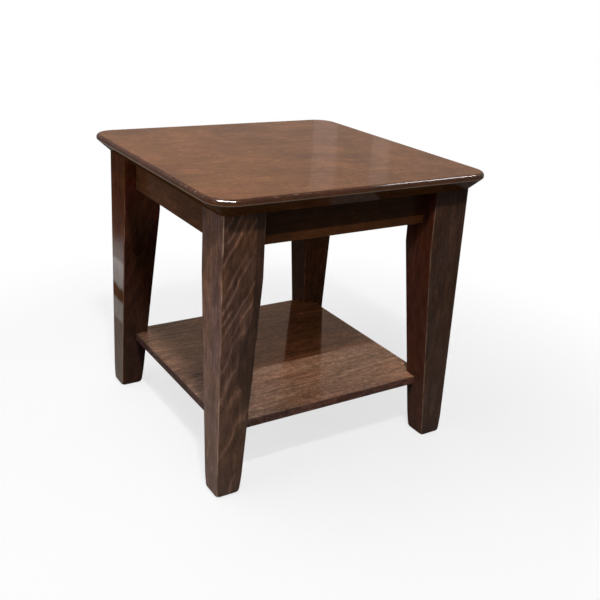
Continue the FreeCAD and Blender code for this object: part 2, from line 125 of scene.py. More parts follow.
def mesh_from(name, shape):
    """A smooth-shaded mesh of a bmesh, which is then freed."""
    bmesh.ops.recalc_face_normals(shape, faces=shape.faces)
    for face in shape.faces:
        face.smooth = True
    for edge in shape.edges:
        edge.smooth = edge.calc_face_angle(0) < SHARP_ANGLE
    mesh = bpy.data.meshes.new(name)
    shape.to_mesh(mesh)
    shape.free()
    return mesh


def stand_in(node, shape, material):
    """Puts a mesh of the shape in the place of a node. Its large flat faces decide the shading next to them,
    as the eye sees a small round on a board."""
    mesh = mesh_from(node + "_finish", shape)
    piece = bpy.data.objects.new(node + "_finish", mesh)
    bpy.context.scene.collection.objects.link(piece)
    mesh.materials.append(material)
    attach(piece, "root")
    modifier = piece.modifiers.new("flat_faces", "WEIGHTED_NORMAL")
    modifier.keep_sharp = True
    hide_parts(node)


# ---------------------------------------------------------------- table top
def top_profile(thickness):
    """The moulded edge from the underside up, as (inset, height above the underside, mark)."""
    rise = thickness - TOP_EDGE_FACE
    slope = math.atan2(TOP_BEVEL_INSET, rise)
    centre = rise + TOP_BEVEL_ARRIS * math.tan(slope / 2)
    profile = [(TOP_BEVEL_INSET, 0.0, BEVEL_FOOT_MARK)]
    for share, mark in arc(TOP_BEVEL_STEPS):
        turn = slope * (1 - share)
        profile.append((TOP_BEVEL_ARRIS - TOP_BEVEL_ARRIS * math.cos(turn),
                        centre - TOP_BEVEL_ARRIS * math.sin(turn), mark))
    for share, mark in arc(TOP_ARRIS_STEPS):
        turn = share * math.pi / 2
        profile.append((TOP_ARRIS * (1 - math.cos(turn)), thickness - TOP_ARRIS * (1 - math.sin(turn)), mark))
    return profile


def top_panel(low, high):
    """The whole top as one solid, before it is cut into its boards."""
    rings, marks = [], []
    for inset, height, mark in top_profile(high.z - low.z):
        ring, _ = rounded_ring((low.x + inset, low.y + inset), (high.x - inset, high.y - inset),
                               low.z + height, TOP_CORNER_RADIUS - inset, TOP_CORNER_STEPS)
        rings.append(ring)
        marks.append([mark] * len(ring))
    return skin(rings, marks)


def cut_board(panel, low_y, high_y):
    """The part of the panel between two planes across Y, closed at the cuts."""
    board = panel.copy()
    for place, way in ((low_y, -1), (high_y, 1)):
        everything = board.verts[:] + board.edges[:] + board.faces[:]
        cut = bmesh.ops.bisect_plane(board, geom=everything, plane_co=(0, place, 0), plane_no=(0, way, 0),
                                     clear_outer=True)
        rim = [item for item in cut["geom_cut"] if isinstance(item, bmesh.types.BMEdge)]
        if rim:
            bmesh.ops.contextual_create(board, geom=rim)
    return board


def build_top():
    nodes = ["top_board_%d" % (number + 1) for number in range(TOP_BOARDS)]
    boxes = [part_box(node) for node in nodes]
    low = Vector([min(box[0][axis] for box in boxes) for axis in range(3)])
    high = Vector([max(box[1][axis] for box in boxes) for axis in range(3)])
    panel = top_panel(low, high)
    for number, (node, box) in enumerate(zip(nodes, boxes)):
        stand_in(node, cut_board(panel, box[0].y, box[1].y), top_wood(number))
    panel.free()


# ---------------------------------------------------------------- legs
def leg_width(height, head, taper_top):
    """The leg's width at a height: straight taper, an arc, then plumb."""
    angle = math.atan((head - LEG_FOOT) / taper_top)
    reach = LEG_BEND_RADIUS * math.tan(angle / 2)
    if height >= taper_top + reach:
        return head
    if height <= taper_top - reach * math.cos(angle):
        return LEG_FOOT + (head - LEG_FOOT) * height / taper_top
    drop = taper_top + reach - height
    return head - LEG_BEND_RADIUS + math.sqrt(LEG_BEND_RADIUS ** 2 - drop ** 2)


def leg_levels(length):
    """The leg's rings from the floor up, as (height, inset, mark)."""
    levels = []
    for share, mark in arc(LEG_FOOT_STEPS):
        turn = share * math.pi / 2
        levels.append((LEG_FOOT_ARRIS * (1 - math.cos(turn)), LEG_FOOT_ARRIS * (1 - math.sin(turn)), mark))
    for step in range(1, LEG_LEVELS + 1):
        levels.append((LEG_FOOT_ARRIS + (length - LEG_FOOT_ARRIS) * step / LEG_LEVELS, 0.0, 0.0))
    return levels


def leg_shape(low, high, way_x, way_y):
    """A leg whose outer corner is at the low X and Y if the ways are 1, and at the high ones if -1."""
    head = high.x - low.x
    length = high.z - low.z
    taper_top = length - APRON_HEIGHT - LEG_TAPER_DROP
    outer = (low.x if way_x > 0 else high.x, low.y if way_y > 0 else high.y)
    rings, marks = [], []
    for height, inset, foot_mark in leg_levels(length):
        width = leg_width(height, head, taper_top)
        inner = (outer[0] + way_x * width, outer[1] + way_y * width)
        ring_low = [min(pair) + inset for pair in zip(outer, inner)]
        ring_high = [max(pair) - inset for pair in zip(outer, inner)]
        worn = max(0.0, 1 - height / LEG_FOOT_WEAR) ** 2
        corner = max(LEG_ARRIS + (LEG_FOOT_CORNER - LEG_ARRIS) * worn - inset, LEG_LEAST_CORNER)
        ring, corner_marks = rounded_ring(ring_low, ring_high, low.z + height, corner, LEG_CORNER_STEPS)
        rings.append(ring)
        marks.append([max(mark, foot_mark) for mark in corner_marks])
    return skin(rings, marks)


def build_legs():
    for number, node in enumerate(LEGS):
        low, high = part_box(node)
        shape = leg_shape(low, high, 1 if "left" in node else -1, 1 if "front" in node else -1)
        stand_in(node, shape, leg_wood(node, number, **LEGS[node]))


# ---------------------------------------------------------------- aprons
def apron_section(low, high, bottom, top):
    """An apron's section as (place across it, height, mark), with its two lower arrises eased."""
    section = []
    for side, centre in enumerate((low + APRON_ARRIS, high - APRON_ARRIS)):
        for share, mark in arc(APRON_STEPS):
            turn = (1 + side / 2) * math.pi + share * math.pi / 2
            section.append((centre + APRON_ARRIS * math.cos(turn),
                            bottom + APRON_ARRIS + APRON_ARRIS * math.sin(turn), mark))
    return section + [(high, top, 0.0), (low, top, 0.0)]


def apron_shape(low, high, along):
    """An apron between the legs, without its tenons, that runs along X or Y."""
    off = Y if along == X else X
    section = apron_section(low[off], high[off], low.z, high.z)
    rings, marks = [], []
    for end in (low[along] + TENON_LENGTH, high[along] - TENON_LENGTH):
        rings.append([Vector((end, place, height) if along == X else (place, end, height))
                      for place, height, mark in section])
        marks.append([mark for place, height, mark in section])
    return skin(rings, marks)


def build_aprons():
    for number, node in enumerate(APRONS):
        low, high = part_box(node)
        along = X if node in ("apron_front", "apron_back") else Y
        shape = apron_shape(low, high, along)
        stand_in(node, shape, apron_wood(node, along, number, **APRONS[node]))


# ---------------------------------------------------------------- material helpers
# Where a Mix node keeps the sockets for colours.
MIX_FIRST, MIX_SECOND, MIX_RESULT = 6, 7, 2


class Graph:
    """A short way to write the nodes of a material or a world."""

    def __init__(self, owner):
        self.owner = owner
        owner.use_nodes = True
        self.tree = owner.node_tree
        self.tree.nodes.clear()

    def node(self, kind, settings=None, **sockets):
        made = self.tree.nodes.new("ShaderNode" + kind)
        for name, value in (settings or {}).items():
            setattr(made, name, value)
        for name, value in sockets.items():
            self.feed(made.inputs[name.replace("_", " ")], value)
        return made

    def feed(self, socket, value):
        if isinstance(value, bpy.types.NodeSocket):
            self.tree.links.new(value, socket)
        else:
            socket.default_value = value

    def fed(self, made, *values):
        """A node whose first sockets take the values."""
        for socket, value in zip(made.inputs, values):
            self.feed(socket, value)
        return made

    def sum(self, operation, *values):
        """The result of any operation on numbers."""
        return self.fed(self.node("Math", {"operation": operation}), *values).outputs[0]

    def vector(self, operation, *values):
        """The result of an operation on vectors or colours."""
        return self.fed(self.node("VectorMath", {"operation": operation}), *values).outputs[0]

    def mixed(self, share, first, second):
        """A shader between two shaders' nodes."""
        return self.fed(self.node("MixShader"), share, first.outputs[0], second.outputs[0])

    def blend(self, share, first, second, kind="MIX"):
        made = self.node("Mix", {"data_type": "RGBA", "blend_type": kind, "clamp_factor": True})
        self.feed(made.inputs[0], share)
        self.feed(made.inputs[MIX_FIRST], first)
        self.feed(made.inputs[MIX_SECOND], second)
        return made.outputs[MIX_RESULT]

    def ease(self, value, start, end):
        """0 at the start and 1 at the end, smooth between."""
        made = self.node("MapRange", {"interpolation_type": "SMOOTHSTEP"}, Value=value, From_Min=start,
                         From_Max=end)
        return made.outputs[0]

    def within(self, value, low, high, soft):
        """1 between two values, with soft ends."""
        return self.sum("MULTIPLY", self.ease(value, low, low + soft), self.ease(value, high, high - soft))

    def centred(self, value):
        return self.sum("SUBTRACT", value, 0.5)

    def noise(self, vector, detail=2.0, roughness=0.5):
        made = self.node("TexNoise", Vector=vector, Scale=1.0, Detail=detail, Roughness=roughness)
        return made.outputs["Fac"]

    def stretch(self, vector, scale, shift=(0.0, 0.0, 0.0)):
        return self.node("Mapping", Vector=vector, Scale=scale, Location=shift).outputs[0]

    def place(self):
        return self.node("TexCoord").outputs["Object"]

    def length(self, vector):
        return self.node("VectorMath", {"operation": "LENGTH"}, Vector=vector).outputs["Value"]

    def split(self, vector):
        """A vector's three parts."""
        return list(self.node("SeparateXYZ", Vector=vector).outputs)

    def facing(self, axis, start, end, either_way=False):
        """0 to 1 as the surface's normal, measured along an axis, goes from the start to the end."""
        normal = self.split(self.node("NewGeometry").outputs["Normal"])[axis]
        return self.ease(self.sum("ABSOLUTE", normal) if either_way else normal, start, end)

    def seen(self):
        """1 for the rays that look at a thing, straight or in a reflection, and 0 for those that light it."""
        path = self.node("LightPath")
        straight = self.sum("MAXIMUM", path.outputs["Is Camera Ray"], path.outputs["Is Glossy Ray"])
        return self.sum("MAXIMUM", straight, path.outputs["Is Transmission Ray"])


def shade(red, green, blue):
    """An sRGB colour of 0 to 255 as the linear colour that a shader takes."""
    def linear(level):
        level /= 255
        return level / 12.92 if level <= 0.04045 else ((level + 0.055) / 1.055) ** 2.4
    return (linear(red), linear(green), linear(blue), 1.0)


def scaled(colour, factor):
    return tuple(part * factor for part in colour[:3]) + (1.0,)


def toward(colour, other, share):
    return tuple(one + (two - one) * share for one, two in zip(colour[:3], other[:3])) + (1.0,)


# Ranges for Graph.facing: the axis, and the normal's part along it from which and to which the look comes in.
LEFTWARD = (X, -0.5, -0.9)
FRONTWARD = (Y, -0.5, -0.9)
DOWNWARD = (Z, -0.3, -0.6)
UPWARD = (Z, -0.1, 0.25)
SIDEWARD = (X, 0.5, 0.9, True)
FRONT_OR_BACK = (Y, 0.6, 0.9, True)
OFF_LEVEL = (Z, 0.998, 0.93)
RIM_FROM_ABOVE = (Z, 0.97, 0.8)     # an upper rim lies where both of these hold
RIM_FROM_BELOW = (Z, 0.1, 0.4)
UNDER_BRIM = (Z, -0.05, -0.25)

# The axes in a node's frame that lie along the grain and across it, for a grain along X, Y or Z.
GRAIN_ORDER = ((X, Y, Z), (Y, X, Z), (Z, X, Y))
# How far the pattern moves along each of them, in metres: for each unit of the seed, and for all.
SEED_MOVES = ((3.1, 0.37), (1.7, 0.11), (0.9, 0.53))


def grain_place(graph, along, seed):
    """The surface's place in metres, turned so that X runs along the grain: moved by the seed, so that no two
    boards share a pattern, and still."""
    parts = graph.split(graph.place())
    x, y, z = (parts[axis] for axis in GRAIN_ORDER[along])
    still = graph.node("CombineXYZ", X=x, Y=y, Z=z).outputs[0]
    return graph.vector("ADD", still, [unit * seed + start for unit, start in SEED_MOVES]), still


# ---------------------------------------------------------------- stained and lacquered wood
WHITE = (1.0, 1.0, 1.0, 1.0)
STAIN = shade(113, 73, 39)
STAIN_RED = shade(124, 72, 54)
# The pale of worn arrises, also used for a painted highlight on the arris below the top's edge face.
RUBBED_AND_HIGHLIT = shade(196, 164, 138)
# A grey for dust low down that also stands in for a painted sheen.
DUST_AND_SHEEN_GREY = shade(156, 144, 132)
# A greyer tone painted on the shelf's left end for a reflection.
PAINTED_SHEEN_GREY = shade(112, 90, 76)

CONTRAST = 3.5                  # how much lighter a grain level of 1 is than one of 0
RINGS_PER_METRE = 190.0
RING_SWAY = 0.05                # how far the rings wander off round
RING_CONE = 0.03                # how fast they widen along the board
RING_SEED = 0.7
DRIFT_SHIFT = (4.0, 2.0, 7.0)   # keeps the drift apart from the other layers
PORE_SHADE = 0.2                # the pores' colour, as a share of the stain

# The detail and the roughness of each layer of noise in the wood.
LAYERS = {
    "wander": (3, 0.5),
    "cloud": (4, 0.6),
    "mottle": (4, 0.6),
    "band": (3, 0.55),
    "streak": (4, 0.65),
    "fibre": (3, 0.65),
    "speckle": (2, 0.5),
    "drift": (3, 0.5),
    "fleck": (2, 0.5),
    "pore": (1, 0.5),
    "rub": (2, 0.5),
}

# The values of a noise, a ring or a mark from which and to which what it drives comes in.
TINTED = (0.3, 0.7)
FLECKED = (0.62, 0.76)
PORED = (0.62, 0.72)
PORED_RING = (0.35, 0.6)
BRIM_ARRIS = (0.4, 0.9)
GLINT_ARRIS = (0.2, 0.7)

DUST_AND_SHEEN_TOP = 0.5                  # the height up to which the dust and painted sheen thin out
DUST_AND_SHEEN_LEAST = 0.6                # the dust and sheen where the mottle is 0, and how much more where it is 1
DUST_AND_SHEEN_MORE = 0.8
CLEAR_BAND_SHARE = 0.9
BRIM_COAT = 0.42                # the lacquer's added gloss on the arris below the edge face
MOTTLE_ROUGH = 0.15
PORE_ROUGH = 0.08
FIBRE_RELIEF = 0.25
PORE_RELIEF = -0.8
GRAIN_BUMP = (0.25, 0.00006)    # the strength and depth of the grain's relief, and of the board's swell
SWELL_BUMP = (0.4, 0.001)


class Look:
    """What one board of stained and lacquered wood looks like. A board may have its own values for these."""

    # How strongly each layer of noise lightens and darkens the stain.
    cloud = 0.9
    mottle = 0.7
    band = 0.5
    streak = 0.7
    ring = 0.3
    fibre = 0.5
    speckle = 0.45
    drift = 0.0
    fleck = 0.35
    pore = 0.4

    # How fine each layer is, in waves per metre along the grain and across it.
    wander_size = (4, 9)
    cloud_size = (4, 8)
    mottle_size = (30, 62)
    band_size = (3, 45)
    streak_size = (13, 150)
    fibre_size = (25, 650)
    speckle_size = (170, 340)
    drift_size = (10, 17)
    fleck_size = (60, 230)
    pore_size = (90, 1300)
    rub_size = (22, 80)

    bend = 0.048                # how far the grain wanders sideways, in metres
    pith = (0.03, -0.09)        # where the rings' centre lies across the grain
    rays = 0.0                  # the strength of the ray flecks
    strip = 0.0                 # how much darker the plain strip beside them is

    # Colour, by where the surface lies or looks; much of it painted light, shade and sheen.
    side = None                 # painted light and shade: a factor for each part of the colour, on the face that looks left
    lift = None                 # painted light on the face that looks forward: from and to a height, and how much lighter
    painted_sheen = None                 # painted sheen, a greyer tone for a reflection: from and to a place along the grain, and its share there
    edge = None                 # a factor for the edges' colour, partly darker stain and partly painted shade, in full on the slopes that look up,
    edge_side = 1.0             # by this share on the sides
    edge_below = 1.0            # and by this share underneath
    # Dust low down, partly a painted sheen: greyer towards the bottom.
    dust_and_sheen = 0.0
    dust_and_sheen_front = 0.4            # the share of the dust and painted sheen on the front and back

    # The stain rubbed off the arrises, in the arris's middle and in patches.
    rub = 0.5
    rub_core = 0.75
    rub_patch = (0.35, 0.65)
    rim = 0.0                   # how much of it is gone from the rounded upper rim
    brim = 0.0                  # and from the arris below the edge face, partly wear and partly a painted highlight

    rough = 0.4
    coat = 0.3                  # the lacquer's gloss, on what looks up
    coat_below = 0.08           # and on the rest
    coat_rough = 0.12
    arris_coat = None           # and on the upper arris
    polish = ()                 # glossier bands on the face that looks left: a band, and how much more gloss
    clear_of_dust_and_sheen = None                # a band of it without the dust and painted sheen

    def __init__(self, base_tone, tint, **own):
        self.base_tone = base_tone
        self.tint = tint
        for name, value in own.items():
            if not hasattr(Look, name):
                raise AttributeError(name)
            setattr(self, name, value)


class Wood(Graph):
    """The material of one board: stained wood with its dust and wear and some painted light, shade and sheen,
    under lacquer.
    """

    def __init__(self, name, along, seed, look):
        super().__init__(bpy.data.materials.new(name))
        self.look = look
        self.grain, self.still = grain_place(self, along, seed)
        self.wander = self.layer("wander")
        off = self.centred(self.wander)
        sway = self.node("CombineXYZ", Y=off, Z=off).outputs[0]
        self.grain = self.vector("MULTIPLY_ADD", sway, (0.0, look.bend, look.bend), self.grain)
        self.mottle = self.layer("mottle")
        self.fibre = self.layer("fibre")
        self.drift = self.layer("drift", DRIFT_SHIFT)
        self.ring = self.rings(seed)
        self.pore = self.sum("MULTIPLY", self.ease(self.layer("pore"), *PORED),
                             self.ease(self.ring, *PORED_RING))
        self.height = self.split(self.place())[Z]
        self.arris = self.node("Attribute", {"attribute_name": "arris"}).outputs["Fac"]
        self.upward = self.facing(*UPWARD)
        self.finish(self.blend(self.rubbed_and_highlit(), self.dusty_and_sheened(self.edge_stain_and_shade(self.stained())), RUBBED_AND_HIGHLIT))

    def layer(self, name, shift=(0.0, 0.0, 0.0)):
        """One layer of noise, as fine as the look says."""
        lengthwise, crosswise = getattr(self.look, name + "_size")
        stretched = self.stretch(self.grain, (lengthwise, crosswise, crosswise), shift)
        return self.noise(stretched, *LAYERS[name])

    def rings(self, seed):
        """The growth rings, as a noise over the distance from the pith."""
        x, y, z = self.split(self.still)
        from_pith = self.node("CombineXYZ", X=self.sum("SUBTRACT", y, self.look.pith[0]),
                              Y=self.sum("SUBTRACT", z, self.look.pith[1])).outputs[0]
        radius = self.sum("MULTIPLY_ADD", self.wander, RING_SWAY, self.length(from_pith))
        radius = self.sum("MULTIPLY_ADD", x, RING_CONE, radius)
        return self.node("TexNoise", {"noise_dimensions": "1D"}, W=self.sum("ADD", radius, RING_SEED * seed),
                         Scale=RINGS_PER_METRE, Detail=2.0).outputs["Fac"]

    def level(self, flecks):
        """How light the grain is against the stain."""
        look = self.look
        level = 0.0
        for layer, strength in ((self.layer("cloud"), look.cloud), (self.mottle, look.mottle),
                                (self.layer("band"), look.band), (self.layer("streak"), look.streak),
                                (self.ring, look.ring), (self.fibre, look.fibre),
                                (self.layer("speckle"), look.speckle), (self.drift, look.drift)):
            level = self.sum("MULTIPLY_ADD", self.centred(layer), strength, level)
        level = self.sum("MULTIPLY_ADD", self.ease(self.layer("fleck"), *FLECKED), look.fleck, level)
        if flecks is not None:
            level = self.sum("ADD", level, flecks)
        # Painted light: a lighter band on the face that looks forward, where light falls on it.
        if look.lift is not None:
            low, high, more = look.lift
            painted_front_lit = self.sum("MULTIPLY", self.ease(self.height, low, high), self.facing(*FRONTWARD))
            level = self.sum("MULTIPLY_ADD", painted_front_lit, more, level)
        return level

    def hue(self):
        """The base colour, which changes from place to place, with its painted sheen and painted light and
        shade.
        """
        look = self.look
        hue = self.blend(self.ease(self.drift, *TINTED), look.base_tone, look.tint)
        # Painted sheen: a greyer tone toward one end, for a reflection.
        if look.painted_sheen is not None:
            start, end, most = look.painted_sheen
            painted_sheen_share = self.ease(self.split(self.still)[X], start, end)
            hue = self.blend(self.sum("MULTIPLY", painted_sheen_share, most), hue, PAINTED_SHEEN_GREY)
        # Painted light and shade: the face that looks left made lighter or darker.
        if look.side is not None:
            hue = self.blend(self.facing(*LEFTWARD), hue, self.vector("MULTIPLY", hue, look.side))
        return hue

    def stained(self):
        """The wood's colour under its stain."""
        look = self.look
        flecks = ray_flecks(self, self.still, look.rays, look.strip) if look.rays else None
        lightness = self.sum("POWER", CONTRAST, self.level(flecks))
        colour = self.node("VectorMath", {"operation": "SCALE"}, Vector=self.hue(),
                           Scale=lightness).outputs[0]
        pored = self.sum("MULTIPLY", self.pore, look.pore)
        colour = self.blend(pored, colour, scaled(look.base_tone, PORE_SHADE))
        if flecks is not None:
            colour = self.blend(self.sum("MULTIPLY", flecks, RAY_PALE), colour, DUST_AND_SHEEN_GREY)
        return colour

    def edge_stain_and_shade(self, colour):
        """Darkens what isn't level, less on the sides and underneath: partly the stain's darker take on the
        edges, partly painted shade.
        """
        look = self.look
        if look.edge is None:
            return colour
        by_side = self.sum("MULTIPLY_ADD", self.upward, 1 - look.edge_side, look.edge_side)
        below = self.sum("MULTIPLY_ADD", self.facing(*DOWNWARD), look.edge_below - 1, 1.0)
        edge = self.sum("MULTIPLY", self.sum("MULTIPLY", self.facing(*OFF_LEVEL), by_side), below)
        return self.blend(edge, colour, look.edge, "MULTIPLY")

    def left_band(self, low, high, soft, ragged):
        """1 between two heights on the face that looks left, with soft and ragged ends."""
        place = self.sum("MULTIPLY_ADD", self.centred(self.drift), ragged, self.height)
        return self.sum("MULTIPLY", self.within(place, low, high, soft), self.facing(*LEFTWARD))

    def dusty_and_sheened(self, colour):
        """Lays dust on the lower part, unevenly, with a painted sheen in it."""
        look = self.look
        if not look.dust_and_sheen:
            return colour
        by_side = self.sum("MULTIPLY_ADD", self.facing(*SIDEWARD), 1 - look.dust_and_sheen_front, look.dust_and_sheen_front)
        dust_and_sheen = self.sum("MULTIPLY", self.ease(self.height, DUST_AND_SHEEN_TOP, 0.0), by_side)
        dust_and_sheen = self.sum("MULTIPLY", dust_and_sheen, self.sum("MULTIPLY_ADD", self.mottle, DUST_AND_SHEEN_MORE, DUST_AND_SHEEN_LEAST))
        if look.clear_of_dust_and_sheen is not None:
            clean = self.sum("MULTIPLY", dust_and_sheen, self.left_band(*look.clear_of_dust_and_sheen))
            dust_and_sheen = self.sum("MULTIPLY_ADD", clean, -CLEAR_BAND_SHARE, dust_and_sheen)
        return self.blend(self.sum("MULTIPLY", dust_and_sheen, look.dust_and_sheen), colour, DUST_AND_SHEEN_GREY)

    def brim(self):
        """1 on the arris between the edge face and the bevel under it."""
        return self.sum("MULTIPLY", self.ease(self.arris, *BRIM_ARRIS), self.facing(*UNDER_BRIM))

    def rubbed_and_highlit(self):
        """How much of the stain is rubbed off, with a painted highlight on the arris below the edge face."""
        look = self.look
        rub = self.sum("MULTIPLY", self.ease(self.arris, look.rub_core, 1.0),
                       self.ease(self.layer("rub"), *look.rub_patch))
        rub = self.sum("MULTIPLY", rub, look.rub)
        if look.rim:
            rim = self.sum("MULTIPLY", self.facing(*RIM_FROM_ABOVE), self.facing(*RIM_FROM_BELOW))
            rub = self.sum("MAXIMUM", rub, self.sum("MULTIPLY", rim, look.rim))
        # Painted highlight, partly wear: the arris below the edge face made paler.
        if look.brim:
            rub = self.sum("MAXIMUM", rub, self.sum("MULTIPLY", self.brim(), look.brim))
        return rub

    def lacquer(self):
        """How much gloss the lacquer has."""
        look = self.look
        coat = self.sum("MULTIPLY_ADD", self.upward, look.coat - look.coat_below, look.coat_below)
        if look.arris_coat is not None:
            glint = self.sum("MULTIPLY", self.ease(self.arris, *GLINT_ARRIS), self.upward)
            coat = self.sum("MULTIPLY_ADD", glint, look.arris_coat - look.coat, coat)
        if look.brim:
            coat = self.sum("MULTIPLY_ADD", self.brim(), BRIM_COAT, coat)
        for band, more in look.polish:
            coat = self.sum("MULTIPLY_ADD", self.left_band(*band), more, coat)
        return coat

    def bump(self, height, strength, depth, **under):
        """The surface's normal with a relief on it."""
        return self.node("Bump", Height=height, Strength=strength, Distance=depth, **under).outputs[0]

    def finish(self, colour):
        """The surface itself: matt wood with its relief, under the lacquer."""
        rough = self.sum("MULTIPLY_ADD", self.centred(self.mottle), MOTTLE_ROUGH, self.look.rough)
        rough = self.sum("MULTIPLY_ADD", self.pore, PORE_ROUGH, rough)
        hollow = self.sum("MULTIPLY", self.pore, PORE_RELIEF)
        relief = self.sum("MULTIPLY_ADD", self.fibre, FIBRE_RELIEF, hollow)
        swell = self.bump(self.wander, *SWELL_BUMP, Normal=self.bump(relief, *GRAIN_BUMP))
        surface = self.node("BsdfPrincipled", Base_Color=colour, Roughness=rough, Specular_IOR_Level=0.0,
                            Normal=swell, Coat_Weight=self.lacquer(), Coat_Roughness=self.look.coat_rough,
                            Coat_Normal=swell)
        self.node("OutputMaterial", Surface=surface.outputs[0])


# ---------------------------------------------------------------- ray flecks
RAY_SLANT = math.radians(60)
RAY_PALE = 0.2                  # how much of the dust-and-sheen grey the rays take
RAY_WANDER = (13, 22, 22)       # how fine their wandering is, in waves per metre
RAY_BREAKS = (0.2, 0.7)         # how fine their breaks are along and across them, in waves per spacing
RAY_BROKEN = (0.42, 0.6)
RAY_PEAK = 0.97                 # where a wave is wholly a ray, or wholly dark if it is less than 0
RAY_DARK_FROM = -0.5            # where it starts to be dark
RAY_DARK = 0.5                  # how dark that is
# Each kind of ray: its spacing, how far it wanders, where a wave starts to be a ray, its strength, and the
# heights between which it comes in. Thin regular ones above, and broad uneven ones below.
RAYS = (
    (0.0145, 9.5, 0.35, 0.95, (0.29, 0.37)),
    (0.03, 11.0, 0.3, 0.85, (0.37, 0.29)),
)
# The plain strip lies along the front left leg's tapered edge, whose X this gives at a height under the bend.
STRIP_EDGE_AT_FLOOR = -0.2225
STRIP_EDGE_SLOPE = 0.0744
STRIP_BEND = 0.43
STRIP_WIDTH = (0.0185, 0.0155)
STRIP_START = (0.15, 0.22)
STRIP_BULGE = 0.016             # how much wider it is in a zone of heights: from, to, softness
STRIP_BULGE_ZONE = (0.2, 0.36, 0.05)
STRIP_BULGE_SWAY = 0.05         # how far that zone wanders


def ray_flecks(graph, still, strength, strip):
    """Slanted rays on a leg's front and back, as quarter-sawn wood has them, and a plain darker strip beside
    them if one is asked for."""
    tall, wide, _ = graph.split(still)
    lengthwise = graph.sum("MULTIPLY_ADD", wide, math.cos(RAY_SLANT),
                           graph.sum("MULTIPLY", tall, math.sin(RAY_SLANT)))
    crosswise = graph.sum("MULTIPLY_ADD", wide, -math.sin(RAY_SLANT),
                          graph.sum("MULTIPLY", tall, math.cos(RAY_SLANT)))
    place = graph.node("CombineXYZ", X=lengthwise, Y=crosswise).outputs[0]
    bend = graph.centred(graph.noise(graph.stretch(still, RAY_WANDER), detail=3))
    marks = 0.0
    for spacing, wobble, core, share, zone in RAYS:
        turns = graph.sum("MULTIPLY", crosswise, 2 * math.pi / spacing)
        wave = graph.sum("SINE", graph.sum("MULTIPLY_ADD", bend, wobble, turns))
        dark = graph.sum("MULTIPLY", graph.ease(wave, RAY_DARK_FROM, -RAY_PEAK), RAY_DARK)
        mark = graph.sum("SUBTRACT", graph.ease(wave, core, RAY_PEAK), dark)
        breaks = graph.noise(graph.stretch(place, (RAY_BREAKS[0] / spacing, RAY_BREAKS[1] / spacing, 1)))
        mark = graph.sum("MULTIPLY", mark, graph.ease(breaks, *RAY_BROKEN))
        mark = graph.sum("MULTIPLY", mark, graph.sum("MULTIPLY", graph.ease(tall, *zone), share))
        marks = graph.sum("ADD", marks, mark)
    if strip:
        edge = graph.sum("MULTIPLY_ADD", graph.sum("MINIMUM", tall, STRIP_BEND), STRIP_EDGE_SLOPE,
                         STRIP_EDGE_AT_FLOOR)
        bulge = graph.within(graph.sum("MULTIPLY_ADD", bend, STRIP_BULGE_SWAY, tall), *STRIP_BULGE_ZONE)
        inward = graph.sum("MULTIPLY_ADD", bulge, -STRIP_BULGE, graph.sum("SUBTRACT", edge, wide))
        plain = graph.sum("MULTIPLY", graph.ease(inward, *STRIP_WIDTH), graph.ease(tall, *STRIP_START))
        marks = graph.sum("MULTIPLY_ADD", graph.sum("MULTIPLY", marks, plain), -1.0, marks)
        marks = graph.sum("MULTIPLY_ADD", plain, -strip, marks)
    return graph.sum("MULTIPLY", graph.sum("MULTIPLY", marks, graph.facing(*FRONT_OR_BACK)), strength)


# ---------------------------------------------------------------- the boards' looks
# Each kind of board has its own places in the noise.
TOP_SEED = 11
LEG_SEED = 23
APRON_SEED = 37
SHELF_SEED = 51
BARE_SEED = 71

# Each leg's stain and left-face factor are partly painted light and shade: darker where a leg stands in
# shade, and left faces lighter or darker as the light falls.
LEGS = {
    "leg_front_left": dict(base_tone=shade(102, 71, 58), side=(1.68, 1.85, 2.2), gloss=0.08, rays=0.55, strip=0.9,
                           dust_and_sheen=0.3, rub=0.9),
    "leg_front_right": dict(base_tone=shade(80, 57, 49), side=(1.3, 0.8, 0.65), gloss=0.06, rays=0.04,
                            dust_and_sheen=0.08, dust_and_sheen_front=0.8, mottle=0.8),
    # The back left leg: painted light on its upper front face, and painted sheen in its dust.
    "leg_back_left": dict(base_tone=shade(60, 24, 15), side=(2.9, 3.0, 1.8), rays=0.1,
                          dust_and_sheen=0.75, dust_and_sheen_front=0.08, lift=(0.34, 0.45, 0.95),
                          polish=(((0.245, 0.38, 0.06, 0.06), 0.42), ((0.245, 0.315, 0.012, 0.03), 0.56),
                                  ((0.16, 0.222, 0.01, 0.02), 0.38)),
                          clear_of_dust_and_sheen=(0.215, 0.25, 0.008, 0.02)),
    "leg_back_right": dict(base_tone=shade(94, 53, 29), side=(0.4, 0.35, 0.4), rays=0.1, dust_and_sheen=0.05),
}
# The aprons' stains are partly painted light and shade: darker for those in the top's shadow, lighter for the
# lit left one.
APRON_SHADED_STAIN = shade(80, 47, 24)
APRONS = {
    # Painted light: the lit strip along the front apron's lower edge, below the top's shadow.
    "apron_front": dict(base_tone=APRON_SHADED_STAIN, lift=(0.5015, 0.4965, 0.85)),
    "apron_back": dict(base_tone=APRON_SHADED_STAIN),
    "apron_left": dict(base_tone=shade(116, 74, 48)),
    "apron_right": dict(base_tone=APRON_SHADED_STAIN),
}
# The front shelf board's lighter stain is partly painted light, and the rear boards' darker one partly the
# top's painted shadow.
SHELF_FRONT = dict(base_tone=shade(149, 111, 86), red=1.6, share=0.3, streak=1.1,
                   mottle=1.3, mottle_size=(60, 110))
SHELF_BEHIND = dict(base_tone=shade(118, 73, 44), red=1.0, share=0.4, streak=1.5, mottle=0.9)


